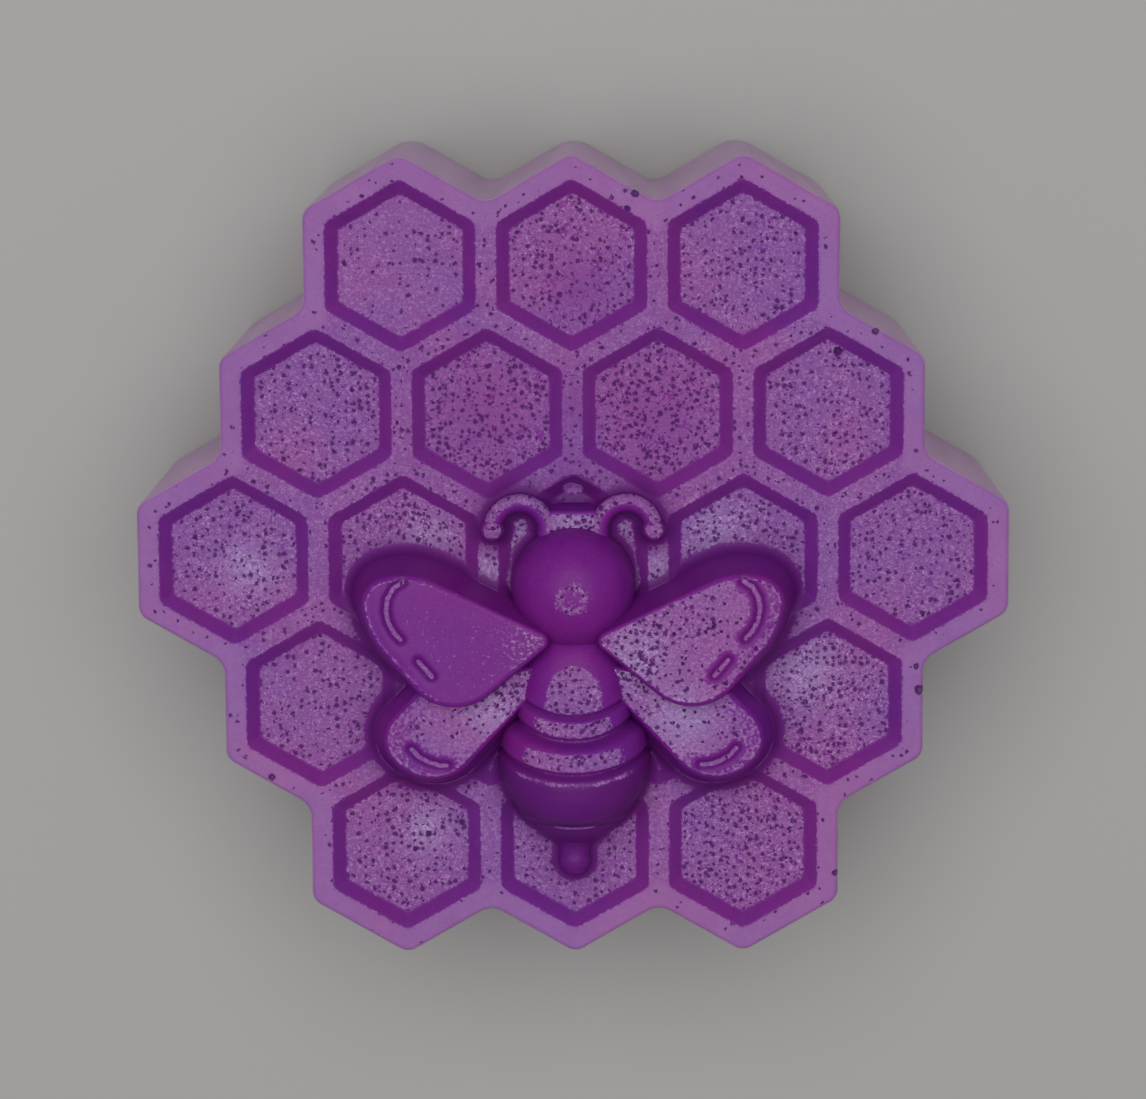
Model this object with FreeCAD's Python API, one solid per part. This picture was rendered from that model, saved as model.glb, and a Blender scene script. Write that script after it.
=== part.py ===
"""Cast soap bar: a block of nineteen honeycomb cells with a bee standing on its front.

Millimetres, +Z up. The flat back lies on z = 0 with the origin under the middle of the bar.
The bee's head points along +Y. Each feature of the casting is a solid of its own; the
solids meet face to face and share no volume.
"""
import FreeCAD, Part
import math
import os

Vector = FreeCAD.Vector

# ---- Block and honeycomb -------------------------------------------------
bar_thickness = 25.0        # flat back to the tops of the ridges
cell_rings = 2              # rings of cells round the middle one
cell_pitch = 15.6           # centre to centre of neighbouring cells
ridge_width = 1.9           # flat top of the ridge between two cells
wall_spread = 1.15          # how far a cell's wall leans in from mouth to floor, in plan
cell_depth = 1.1            # ridge tops down to the cell floors
cell_corner_radius = 0.5
rim_land = 2.0              # flat band from the outermost mouths to the bar's edge
front_corner_radius = 1.5   # the bar's outer corners in plan, at the front
back_corner_radius = 3.0    # and at the back, where the corners are rounder
notch_radius = 2.0          # inner corners of the outline
edge_break = 0.4            # bevel round the front edge

# ---- Bee: heights are above the cell floors ------------------------------
neck_y = -6.6               # where head, thorax and forewings meet
head_radius = 5.7
head_to_neck = 4.1          # head's centre to the neck
head_rise = 1.5             # upright side of the head below its dome

body_rise = 1.0             # body's axis above the cell floors
thorax_length = 6.4
upper_band_length = 2.25
middle_band_length = 2.85
tail_length = 7.8
neck_radius = 2.6
thorax_middle_radius = 4.6
thorax_radius = 5.2         # where the thorax meets the upper band
upper_band_radius = 5.5
middle_band_front_radius = 6.2
middle_band_radius = 6.6
tail_radius = 7.0
tail_shoulder_radius = 5.45  # part way round the tail's rounded end
tail_shoulder_ahead = 2.6   # and how far that lies in front of the tail's back end
tail_end_radius = 2.2
band_swell = 0.15           # how far a band is crowned between its grooves
groove_depth = 0.45         # V grooves between the body's bands
groove_width = 0.4          # from a band's end face to its full radius
tail_rib_width = 0.9        # narrow raised ring at the front of the tail
tail_rib_height = 0.12

stinger_rise = 0.3
stinger_root_flare = 1.2    # how far its root is wider than the tail's end
stinger_stem_radius = 1.6
stinger_ball_radius = 1.85
stinger_stem_length = 1.3   # end of the flared root to the ball's centre
stinger_flare_length = 1.9
stinger_waist_radius = 2.1  # part way down the flare
stinger_waist_back = 0.85

# Corners of the right-hand wings in plan, from the neck, each with its radius
forewing_corners = [
    (1.5, 0.0, 0.9),
    (11.4, -8.2, 4.8),
    (18.5, -0.1, 7.5),
    (20.0, 5.1, 2.7),
    (14.7, 6.4, 7.0),
]
hindwing_corners = [
    (0.8, -2.3, 0.9),
    (12.8, -15.6, 4.7),
    (18.8, -9.8, 3.1),
    (13.9, -4.7, 3.0),
]
forewing_height = 6.1
hindwing_height = 4.1
wing_flank_spread = 1.3     # how far a wing's flank stands out at its foot
wing_bevel = 0.6            # bevel round a wing's top

antenna_root_x = 2.4        # antenna's straight stem, beside the middle line
antenna_arch_radius = 2.5   # middle line of the arch
antenna_arch_y = 9.5        # centre of the arch, from the neck
antenna_height = 2.6
antenna_foot_width = 2.3
antenna_top_width = 1.5
antenna_ball_radius = 1.2
antenna_ball_height = 2.9
bridge_height = 2.4         # web between the two stems
bridge_front_y = 11.3       # its front edge, from the neck

# ---- Worked out from the sizes above -------------------------------------
floor_z = bar_thickness - cell_depth
cell_mouth = cell_pitch - ridge_width
head_y = neck_y + head_to_neck
least_radius = 0.1          # keeps a corner an arc where an inset would sharpen it


# ---- Outlines ------------------------------------------------------------
def mirrored(shape):
    """The same shape on the other side of the bee's middle plane."""
    return shape.mirror(Vector(0, 0, 0), Vector(1, 0, 0))


def unit(vector):
    return vector * (1 / vector.Length)


def turn_at(before, here, after):
    """Signed turn of a path at one corner: positive to the left."""
    way_in = here - before
    way_out = after - here
    cross = way_in.x * way_out.y - way_in.y * way_out.x
    return math.atan2(cross, way_in.dot(way_out))


def grow_loop(corners, distance):
    """Corners of an anticlockwise loop after each side is moved outward by a distance."""
    grown = []
    for index, here in enumerate(corners):
        way_in = unit(here - corners[index - 1])
        way_out = unit(corners[(index + 1) % len(corners)] - here)
        normal_in = Vector(way_in.y, -way_in.x, 0)
        normal_out = Vector(way_out.y, -way_out.x, 0)
        bisector = normal_in + normal_out
        grown.append(here + bisector * (2 * distance / bisector.dot(bisector)))
    return grown


def round_loop(corners, radii, z):
    """Closed wire at height z: straight sides joined by one tangent arc at each corner."""
    starts, middles, ends = [], [], []
    for index, here in enumerate(corners):
        before = corners[index - 1]
        after = corners[(index + 1) % len(corners)]
        half_turn = abs(turn_at(before, here, after)) / 2
        reach = radii[index] * math.tan(half_turn)
        to_before = unit(before - here)
        to_after = unit(after - here)
        inward = unit(to_before + to_after)
        starts.append(here + to_before * reach)
        ends.append(here + to_after * reach)
        middles.append(here + inward * (radii[index] * (1 / math.cos(half_turn) - 1)))
    lift = Vector(0, 0, z)
    edges = []
    for index in range(len(corners)):
        arc = Part.Arc(starts[index] + lift, middles[index] + lift, ends[index] + lift)
        following = starts[(index + 1) % len(corners)]
        edges.append(arc.toShape())
        edges.append(Part.makeLine(ends[index] + lift, following + lift))
    return Part.Wire(edges)


def tapered_block(corners, levels):
    """Solid through one outline at several heights. Each level is (z, growth, radii)."""
    wires = []
    for z, growth, radii in levels:
        wires.append(round_loop(grow_loop(corners, growth), radii, z))
    return Part.makeLoft(wires, True, True)


def moved_radii(corners, radii, growth):
    """Corner radii after the loop has grown: outer corners gain, inner corners lose."""
    moved = []
    for index, radius in enumerate(radii):
        turn = turn_at(corners[index - 1], corners[index], corners[(index + 1) % len(corners)])
        moved.append(max(least_radius, radius + growth * math.copysign(1, turn)))
    return moved


# ---- Honeycomb -----------------------------------------------------------
def cell_centres():
    centres = []
    for row in range(-cell_rings, cell_rings + 1):
        for column in range(-cell_rings, cell_rings + 1):
            if abs(row + column) <= cell_rings:
                x = cell_pitch * (column + row / 2)
                y = cell_pitch * math.sqrt(3) / 2 * row
                centres.append(Vector(x, y, 0))
    return centres


def hexagon(centre, across_flats):
    """Anticlockwise corners of a hexagon with a corner pointing along +Y."""
    corner_distance = across_flats / math.sqrt(3)
    corners = []
    for step in range(6):
        angle = math.radians(30 + 60 * step)
        corners.append(centre + Vector(math.cos(angle), math.sin(angle), 0) * corner_distance)
    return corners


def cluster_outline():
    """Corners round the whole cluster: the hexagon sides that no neighbour shares, in order."""
    sides = {}
    for centre in cell_centres():
        corners = hexagon(centre, cell_pitch)
        for index, start in enumerate(corners):
            end = corners[(index + 1) % 6]
            sides[(round(start.x, 4), round(start.y, 4), round(end.x, 4), round(end.y, 4))] = (start, end)
    following = {}
    for key, (start, end) in sides.items():
        if (key[2], key[3], key[0], key[1]) not in sides:
            following[(key[0], key[1])] = ((key[2], key[3]), end)
    place = min(following)
    outline = []
    for _ in following:
        place, corner = following[place]
        outline.append(corner)
    return outline


def bar_outline():
    """Corners of the bar in plan, with their radii at the front and at the back."""
    corners = grow_loop(cluster_outline(), rim_land - ridge_width / 2)
    front, back = [], []
    for index, here in enumerate(corners):
        outer = turn_at(corners[index - 1], here, corners[(index + 1) % len(corners)]) > 0
        front.append(front_corner_radius if outer else notch_radius)
        back.append(back_corner_radius if outer else notch_radius)
    return corners, front, back


def slab():
    """Body of the bar: upright sides, with corners that grow rounder towards the back."""
    corners, front, back = bar_outline()
    return tapered_block(corners, [(0, 0, back), (floor_z, 0, front)])


def comb():
    """Ridges and outer band round the shallow cells, with a bevelled front edge."""
    corners, front, _ = bar_outline()
    bevelled = moved_radii(corners, front, -edge_break)
    levels = [
        (floor_z, 0, front),
        (bar_thickness - edge_break, 0, front),
        (bar_thickness, -edge_break, bevelled),
    ]
    return tapered_block(corners, levels).cut([cell_pocket(centre) for centre in cell_centres()])


def cell_pocket(centre):
    """Shallow hexagonal cell with leaning walls."""
    corners = hexagon(centre, cell_mouth)
    radii = [cell_corner_radius] * 6
    levels = [(floor_z, -wall_spread, radii), (bar_thickness, 0, radii)]
    return tapered_block(corners, levels)


# ---- Bee -----------------------------------------------------------------
def head():
    """Dome on a short upright side."""
    centre = Vector(0, head_y, floor_z)
    side = Part.makeCylinder(head_radius, head_rise, centre)
    dome = Part.makeSphere(head_radius, centre + Vector(0, 0, head_rise), Vector(0, 0, 1), 0, 90)
    return side.fuse(dome).removeSplitter()


def barrel(profile, rise):
    """Body piece from a half outline in plan: turned over the top about its axis, and straight
    down from the axis to the cell floors. The profile's ends lie on the axis."""
    axis_z = floor_z + rise
    placed = profile.copy()
    placed.translate(Vector(0, 0, axis_z))
    half_plan = Part.Face(placed)
    arch = half_plan.revolve(Vector(0, 0, axis_z), Vector(0, 1, 0), -180)
    skirt = half_plan.extrude(Vector(0, 0, -rise))
    return arch.fuse([skirt, mirrored(skirt)]).removeSplitter()


def closed_profile(edges, front_y, back_y):
    """Close a run of edges, front to back, along the axis."""
    first = edges[0].Vertexes[0].Point
    last = edges[-1].Vertexes[-1].Point
    front = Part.makeLine(Vector(0, front_y, 0), first)
    back = Part.makeLine(last, Vector(0, back_y, 0))
    axis = Part.makeLine(Vector(0, back_y, 0), Vector(0, front_y, 0))
    return Part.Wire([front] + edges + [back, axis])


def band_profile(front_y, length, front_radius, back_radius):
    """One band: crowned between two bevels that make half of the grooves beside it."""
    back_y = front_y - length
    crown_radius = (front_radius + back_radius) / 2 + band_swell
    points = [
        Vector(front_radius - groove_depth, front_y, 0),
        Vector(front_radius, front_y - groove_width, 0),
        Vector(crown_radius, front_y - length / 2, 0),
        Vector(back_radius, back_y + groove_width, 0),
        Vector(back_radius - groove_depth, back_y, 0),
    ]
    edges = [
        Part.makeLine(points[0], points[1]),
        Part.Arc(points[1], points[2], points[3]).toShape(),
        Part.makeLine(points[3], points[4]),
    ]
    return closed_profile(edges, front_y, back_y)


def thorax():
    """Swells from the neck to its own full radius; its front end is inside the head."""
    front_y = neck_y + head_to_neck / 2
    back_y = neck_y - thorax_length
    swell = Vector(thorax_middle_radius, neck_y - thorax_length / 2, 0)
    points = [Vector(neck_radius, neck_y, 0), swell, Vector(thorax_radius, back_y + groove_width, 0)]
    edges = [
        Part.makeLine(Vector(neck_radius, front_y, 0), points[0]),
        Part.Arc(points[0], points[1], points[2]).toShape(),
        Part.makeLine(points[2], Vector(thorax_radius - groove_depth, back_y, 0)),
    ]
    return barrel(closed_profile(edges, front_y, back_y), body_rise)


def upper_band():
    front_y = neck_y - thorax_length
    profile = band_profile(front_y, upper_band_length, thorax_radius, upper_band_radius)
    return barrel(profile, body_rise)


def middle_band():
    front_y = neck_y - thorax_length - upper_band_length
    profile = band_profile(front_y, middle_band_length, middle_band_front_radius, middle_band_radius)
    return barrel(profile, body_rise)


def tail_start():
    return neck_y - thorax_length - upper_band_length - middle_band_length


def tail():
    """Narrow raised ring, then a rounded end that closes towards the stinger."""
    front_y = tail_start()
    back_y = front_y - tail_length
    rib_y = front_y - groove_width
    rounded_y = front_y - tail_rib_width
    rib_radius = tail_radius + tail_rib_height
    rib_top = Vector(rib_radius, rib_y, 0)
    rounding_start = Vector(tail_radius, rounded_y, 0)
    shoulder = Vector(tail_shoulder_radius, back_y + tail_shoulder_ahead, 0)
    edges = [
        Part.makeLine(Vector(rib_radius - groove_depth, front_y, 0), rib_top),
        Part.makeLine(rib_top, rounding_start),
        Part.Arc(rounding_start, shoulder, Vector(tail_end_radius, back_y, 0)).toShape(),
    ]
    return barrel(closed_profile(edges, front_y, back_y), body_rise)


def stinger():
    """Flared root against the tail, a straight stem and a ball at the tip."""
    tail_back = tail_start() - tail_length
    root_y = tail_back + stinger_flare_length / 2
    flare_end = root_y - stinger_flare_length
    ball_y = flare_end - stinger_stem_length
    ball_start = ball_y + math.sqrt(stinger_ball_radius ** 2 - stinger_stem_radius ** 2)
    root = Vector(tail_end_radius + stinger_root_flare, root_y, 0)
    waist = Vector(stinger_waist_radius, root_y - stinger_waist_back, 0)
    stem_top = Vector(stinger_stem_radius, flare_end, 0)
    stem_end = Vector(stinger_stem_radius, ball_start, 0)
    ball_side = Vector(stinger_ball_radius, ball_y, 0)
    tip = Vector(0, ball_y - stinger_ball_radius, 0)
    edges = [
        Part.makeLine(Vector(0, root_y, 0), root),
        Part.Arc(root, waist, stem_top).toShape(),
        Part.makeLine(stem_top, stem_end),
        Part.Arc(stem_end, ball_side, tip).toShape(),
        Part.makeLine(tip, Vector(0, root_y, 0)),
    ]
    return barrel(Part.Wire(edges), stinger_rise)


def wing(outline, height):
    """Right-hand wing: leaning flank from its foot up to a bevelled flat top."""
    corners = []
    radii = []
    for x, y, radius in outline:
        corners.append(Vector(x, neck_y + y, 0))
        radii.append(radius)
    flank_at_bevel = wing_flank_spread * wing_bevel / height
    levels = []
    for z, growth in ((0, wing_flank_spread), (height - wing_bevel, flank_at_bevel), (height, -wing_bevel)):
        levels.append((floor_z + z, growth, moved_radii(corners, radii, growth)))
    return tapered_block(corners, levels)


def antenna_section(half_foot, half_top, height):
    """Right half of an antenna's section: leaning side and rounded top, up to the middle."""
    foot = Vector(half_foot, 0, 0)
    shoulder = Vector(half_top, 0, height - half_top)
    slant = half_top * math.sqrt(0.5)
    round_middle = Vector(slant, 0, shoulder.z + slant)
    return [
        Part.makeLine(Vector(0, 0, 0), foot),
        Part.makeLine(foot, shoulder),
        Part.Arc(shoulder, round_middle, Vector(0, 0, height)).toShape(),
    ]


def antenna():
    """Right-hand antenna: straight stem out of the head, half-circle arch and a ball at its end."""
    start = Vector(antenna_root_x, head_y + head_radius / 2, floor_z)
    arch_y = neck_y + antenna_arch_y
    stem_end = Vector(antenna_root_x, arch_y, floor_z)
    crest = Vector(antenna_root_x + antenna_arch_radius, arch_y + antenna_arch_radius, floor_z)
    ball = Vector(antenna_root_x + 2 * antenna_arch_radius, arch_y, floor_z)
    path = Part.Wire([Part.makeLine(start, stem_end), Part.Arc(stem_end, crest, ball).toShape()])
    right = antenna_section(antenna_foot_width / 2, antenna_top_width / 2, antenna_height)
    left = [mirrored(edge) for edge in reversed(right)]
    section = Part.Wire(right + left)
    section.translate(start)
    rod = path.makePipeShell([section], True, False)
    spread = (antenna_foot_width - antenna_top_width) / 2
    turned = antenna_section(antenna_ball_radius + spread, antenna_ball_radius, antenna_ball_height)
    axis = Part.makeLine(Vector(0, 0, antenna_ball_height), Vector(0, 0, 0))
    half = Part.Face(Part.Wire(turned + [axis]))
    end = half.revolve(Vector(0, 0, 0), Vector(0, 0, 1), 360)
    end.translate(ball)
    return rod.fuse(end)


def bridge():
    """Flat web between the two antenna stems, with a leaning front."""
    front_y = neck_y + bridge_front_y
    lean = (antenna_foot_width - antenna_top_width) / 2
    outline = [
        Vector(0, head_y, floor_z),
        Vector(0, front_y + lean, floor_z),
        Vector(0, front_y, floor_z + bridge_height),
        Vector(0, head_y, floor_z + bridge_height),
    ]
    side = Part.Face(Part.makePolygon(outline + [outline[0]]))
    side.translate(Vector(-antenna_root_x, 0, 0))
    return side.extrude(Vector(2 * antenna_root_x, 0, 0))


def bee_pieces():
    """The bee's solids in the order in which they keep their shape: each later one gives way."""
    front = wing(forewing_corners, forewing_height)
    rear = wing(hindwing_corners, hindwing_height)
    rod = antenna()
    return [
        ("bee_head", head()),
        ("bee_thorax", thorax()),
        ("abdomen_band_upper", upper_band()),
        ("abdomen_band_middle", middle_band()),
        ("abdomen_tail", tail()),
        ("stinger", stinger()),
        ("forewing_right", front),
        ("forewing_left", mirrored(front)),
        ("hindwing_right", rear),
        ("hindwing_left", mirrored(rear)),
        ("antenna_right", rod),
        ("antenna_left", mirrored(rod)),
        ("antenna_bridge", bridge()),
    ]


def build():
    """All nodes by name. The comb is whole, and the bee stands over its ridges and in its cells."""
    nodes = {"backing_slab": slab(), "comb_walls": comb()}
    placed = [nodes["comb_walls"]]
    for name, shape in bee_pieces():
        nodes[name] = shape.cut(placed)
        placed.append(shape)
    return nodes


def main():
    os.makedirs("parts", exist_ok=True)
    for name, shape in build().items():
        solids = Part.Compound(shape.Solids) if len(shape.Solids) > 1 else shape.Solids[0]
        solids.exportStep("parts/" + name + ".step")
        box = solids.BoundBox
        print("%-20s solids %d  volume %9.2f  z %.2f to %.2f  valid %s"
              % (name, len(shape.Solids), solids.Volume, box.ZMin, box.ZMax, solids.isValid()))


main()
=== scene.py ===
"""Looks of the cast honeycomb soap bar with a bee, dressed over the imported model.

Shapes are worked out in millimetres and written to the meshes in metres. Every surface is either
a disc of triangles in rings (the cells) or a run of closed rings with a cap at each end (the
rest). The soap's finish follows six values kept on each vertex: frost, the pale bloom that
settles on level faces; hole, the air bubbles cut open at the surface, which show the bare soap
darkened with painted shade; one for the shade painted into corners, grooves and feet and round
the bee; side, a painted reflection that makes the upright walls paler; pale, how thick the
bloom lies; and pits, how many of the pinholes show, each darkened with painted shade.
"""
import math

import bpy
import numpy as np
from mathutils import Matrix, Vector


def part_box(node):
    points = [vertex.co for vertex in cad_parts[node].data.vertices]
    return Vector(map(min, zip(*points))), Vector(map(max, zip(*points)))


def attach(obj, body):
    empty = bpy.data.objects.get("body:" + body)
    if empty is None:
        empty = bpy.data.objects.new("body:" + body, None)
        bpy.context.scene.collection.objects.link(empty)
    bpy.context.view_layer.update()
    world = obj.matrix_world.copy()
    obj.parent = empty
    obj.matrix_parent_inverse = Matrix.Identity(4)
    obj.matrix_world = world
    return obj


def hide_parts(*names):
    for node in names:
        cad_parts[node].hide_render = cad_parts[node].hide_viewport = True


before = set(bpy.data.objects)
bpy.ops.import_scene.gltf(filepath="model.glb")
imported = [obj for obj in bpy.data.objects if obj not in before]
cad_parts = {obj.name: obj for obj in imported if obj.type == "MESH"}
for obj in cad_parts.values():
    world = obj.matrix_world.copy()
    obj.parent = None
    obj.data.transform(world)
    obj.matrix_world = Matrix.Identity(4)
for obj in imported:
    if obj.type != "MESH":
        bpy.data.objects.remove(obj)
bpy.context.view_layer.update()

MM = 0.001
ROOT3 = math.sqrt(3)

# ---- Sizes of the bar, in millimetres, as in the solid model --------------
CELL_PITCH = 15.6
CELL_MOUTH = 6.85           # middle of a cell to the edge of its ridge, across the flats
CELL_FLOOR = 5.7            # middle of a cell to the foot of its wall
FLOOR_CORNER = 6.6          # middle of a cell to a corner of its floor
CELL_CORNER = 9.0           # middle of a cell to a corner of its border
RIDGE_MIDDLE = 7.3          # middle of a cell to the middle of its half of a ridge
CELL_RINGS = 2
RIM_LAND = 1.05             # band outside the outermost cells' borders
FRONT_CORNER = 1.5
BACK_CORNER = 3.0
NOTCH = 2.0
FLOOR_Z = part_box("comb_walls")[0][2] / MM
RIM_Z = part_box("comb_walls")[1][2] / MM

NECK_Y = -6.6
HEAD_Y = -2.5
HEAD_RADIUS = 5.7
HEAD_RISE = 1.5
THORAX_BACK = NECK_Y - 6.4
UPPER_BACK = THORAX_BACK - 2.25
MIDDLE_BACK = UPPER_BACK - 2.85
TAIL_BACK = MIDDLE_BACK - 7.8
SINK = 0.4                  # how far the bee's pieces reach down into the comb, out of sight

# Corners of the right-hand wings in plan, from the neck, each with its radius
FOREWING = [(1.5, 0.0, 0.9), (11.4, -8.2, 4.8), (18.5, -0.1, 7.5), (20.0, 5.1, 2.7),
            (14.7, 6.4, 7.0)]
HINDWING = [(0.8, -2.3, 0.9), (12.8, -15.6, 4.7), (18.8, -9.8, 3.1), (13.9, -4.7, 3.0)]
FOREWING_HEIGHT = 6.1
HINDWING_HEIGHT = 4.1
WING_SPREAD = 1.3           # how far a wing's foot stands outside its top
ARCH_X = 4.9                # middle of each antenna's arch
ARCH_Y = 2.9
ARCH_RADIUS = 2.5
ROD_FOOT = 1.15             # half width of an antenna at its foot

BEE_MIDDLE_Y = -10
BEE_REACH = 32              # cells farther than this from the bee's middle have no fillet

SETTLED = 0.03              # cast surfaces lie this far below the solids, so waves stay inside
FAR = 9.0                   # stands for any distance too large to matter
TINY = 1e-12                # keeps a division by a length from failing

random_source = np.random.default_rng(19)


# ---- Arithmetic on arrays --------------------------------------------------
def smooth(low, high, value):
    """0 below low, 1 above high, and 3t^2 - 2t^3 between them."""
    t = np.clip((value - low) / (high - low), 0, 1)
    return t * t * (3 - 2 * t)


def value_noise(x, y, cell, seed):
    """Smooth random heights from -1 to 1: random numbers on a square net of the given cell,
    blended by smoothstep weights between its four nearest knots."""
    size = 128
    net = np.random.default_rng(seed).uniform(-1, 1, (size, size))
    u, v = x / cell, y / cell
    i, j = np.floor(u).astype(int), np.floor(v).astype(int)
    s, t = smooth(0, 1, u - i), smooth(0, 1, v - j)
    i0, i1, j0, j1 = i % size, (i + 1) % size, j % size, (j + 1) % size
    near = net[i0, j0] * (1 - s) + net[i1, j0] * s
    far = net[i0, j1] * (1 - s) + net[i1, j1] * s
    return near * (1 - t) + far * t


def cast_unevenness(x, y):
    """Slight waviness of the cast surface: a 3 mm swell and a 0.7 mm ripple, in millimetres."""
    return 0.022 * value_noise(x, y, 3.1, 5) + 0.009 * value_noise(x, y, 0.7, 6)


# ---- Meshes ---------------------------------------------------------------
def ring_corner(ring, sector, step):
    """Index of a vertex of the disc: ring j holds 6j vertices after the 3j(j-1)+1 inside it."""
    place = (sector * ring + step) % np.maximum(6 * ring, 1)
    return np.where(ring == 0, 0, 1 + 3 * ring * (ring - 1) + place)


def disc_layout(rings):
    """Ring, sector and fraction of the side for each vertex of a six-sided disc, and its
    triangles. Between ring j-1 and ring j each of the six sectors holds 2j-1 triangles."""
    ring, sector, part = [np.zeros(1)], [np.zeros(1, int)], [np.zeros(1)]
    triangles = []
    for j in range(1, rings + 1):
        step = np.tile(np.arange(j), 6)
        side = np.repeat(np.arange(6), j)
        ring.append(np.full(6 * j, float(j)))
        sector.append(side)
        part.append(step / j)
        outer, inner = np.full(6 * j, j), np.full(6 * j, j - 1)
        here, after = ring_corner(inner, side, step), ring_corner(inner, side, step + 1)
        near, far = ring_corner(outer, side, step), ring_corner(outer, side, step + 1)
        triangles.append(np.stack([here, near, far], 1))
        triangles.append(np.stack([here, far, after], 1)[step < j - 1])
    ring, sector, part, triangles = map(np.concatenate, (ring, sector, part, triangles))
    return ring.astype(int), sector, part, triangles


def ring_faces(rings, around):
    """Triangles of a run of closed rings: two for each square of the net, and a fan to a middle
    vertex at each end. The rings are numbered first, then the first and the last middle."""
    i, k = np.meshgrid(np.arange(rings - 1), np.arange(around), indexing="ij")
    a, b = i * around + k, i * around + (k + 1) % around
    c, d = b + around, a + around
    sides = np.stack([np.stack([a, b, c], -1), np.stack([a, c, d], -1)]).reshape(-1, 3)
    k = np.arange(around)
    after = (k + 1) % around
    first, last = rings * around, rings * around + 1
    top = (rings - 1) * around
    start = np.stack([after, k, np.full(around, first)], 1)
    end = np.stack([top + k, top + after, np.full(around, last)], 1)
    return np.concatenate([sides, start, end])


def vertex_normals(points, triangles):
    """Area-weighted mean of the normals of the triangles round each vertex."""
    a, b, c = points[triangles[:, 0]], points[triangles[:, 1]], points[triangles[:, 2]]
    across = np.cross(b - a, c - a)
    total = np.zeros_like(points)
    for axis in range(3):
        for corner in range(3):
            total[:, axis] += np.bincount(triangles[:, corner], across[:, axis], len(points))
    return total / np.maximum(np.linalg.norm(total, axis=1, keepdims=True), TINY)


def spread(values, triangles, rounds):
    """Mean of each vertex with its neighbours, repeated: a soft edge a few vertices wide."""
    count = np.bincount(triangles.ravel(), minlength=len(values)) * 2
    for _ in range(rounds):
        total = np.zeros(len(values))
        for corner in range(3):
            others = values[triangles[:, (corner + 1) % 3]] + values[triangles[:, (corner + 2) % 3]]
            total += np.bincount(triangles[:, corner], others, len(values))
        values = 0.5 * values + 0.5 * total / np.maximum(count, 1)
    return values


def level_frost(points, triangles, rounds=2):
    """Bloom settles on level faces: all of it up to 9 degrees of lean, and none past 24."""
    upright = vertex_normals(points, triangles)[:, 2]
    frost = smooth(math.cos(math.radians(24)), math.cos(math.radians(9)), upright)
    return spread(frost, triangles, rounds)


def at_level(plan, z):
    """Points of a plan, all at one height."""
    return np.column_stack([plan, np.full(len(plan), z)])


def turned(x, y, profile, crown, around):
    """Points and triangles of a shape turned about an upright axis: a ring of so many points at
    each radius and height of the profile, closed by its middle below and at the crown above."""
    angle = np.linspace(0, 2 * math.pi, around, endpoint=False)
    plan = np.column_stack([np.cos(angle), np.sin(angle)])
    rings = [at_level([x, y] + radius * plan, z) for radius, z in profile]
    points = np.concatenate(rings + [[[x, y, profile[0][1]]], [[x, y, crown]]])
    return points, ring_faces(len(profile), around)


def placed(name, data):
    """New object in the scene, at the origin."""
    made = bpy.data.objects.new(name, data)
    bpy.context.scene.collection.objects.link(made)
    return made


def make_piece(name, points, triangles, values, material, nodes, body="root"):
    """Mesh object from millimetre points. It takes the place of the named nodes of the model."""
    mesh = bpy.data.meshes.new(name)
    mesh.vertices.add(len(points))
    mesh.vertices.foreach_set("co", (points * MM).astype(np.float32).ravel())
    mesh.loops.add(triangles.size)
    mesh.loops.foreach_set("vertex_index", triangles.astype(np.int32).ravel())
    mesh.polygons.add(len(triangles))
    mesh.polygons.foreach_set("loop_start", np.arange(0, triangles.size, 3, dtype=np.int32))
    mesh.polygons.foreach_set("loop_total", np.full(len(triangles), 3, dtype=np.int32))
    mesh.polygons.foreach_set("use_smooth", np.ones(len(triangles), dtype=bool))
    mesh.update(calc_edges=True)
    mesh.set_sharp_from_angle(angle=math.radians(75))
    for key, value in values.items():
        layer = mesh.attributes.new(key, "FLOAT", "POINT")
        layer.data.foreach_set("value", np.asarray(value, dtype=np.float32))
    mesh.materials.append(material)
    piece = placed(name, mesh)
    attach(piece, body)
    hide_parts(*nodes)


# ---- Outlines in plan ------------------------------------------------------
def ways(corners):
    """Unit steps into and out of each corner of a loop."""
    way_in = corners - np.roll(corners, 1, 0)
    way_in /= np.linalg.norm(way_in, axis=1, keepdims=True)
    return way_in, np.roll(way_in, -1, 0)


def grow(corners, distance):
    """Each side of an anticlockwise loop moved outward: corner + (n1 + n2) * 2d / |n1 + n2|^2."""
    way_in, way_out = ways(corners)
    both = np.stack([way_in[:, 1] + way_out[:, 1], -way_in[:, 0] - way_out[:, 0]], 1)
    return corners + both * (2 * distance / (both ** 2).sum(1, keepdims=True))


def turns(corners):
    """Signed turn at each corner, positive to the left."""
    way_in = corners - np.roll(corners, 1, 0)
    way_out = np.roll(way_in, -1, 0)
    cross = way_in[:, 0] * way_out[:, 1] - way_in[:, 1] * way_out[:, 0]
    return np.arctan2(cross, (way_in * way_out).sum(1))


def loop_steps(corners, radii, spacing):
    """How many steps each corner's arc and each side needs at a spacing."""
    turn = np.abs(turns(corners))
    reach = radii * np.tan(turn / 2)
    sides = np.linalg.norm(np.roll(corners, -1, 0) - corners, axis=1) - reach - np.roll(reach, -1)
    arcs = np.maximum(2, np.ceil(turn * radii / spacing)).astype(int)
    return arcs, np.maximum(1, np.ceil(sides / spacing)).astype(int)


def between(start, end, count):
    """Equal steps along the straight line from one place to another, both ends left out."""
    return start + (end - start) * (np.arange(1, count) / count)[:, None]


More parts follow.
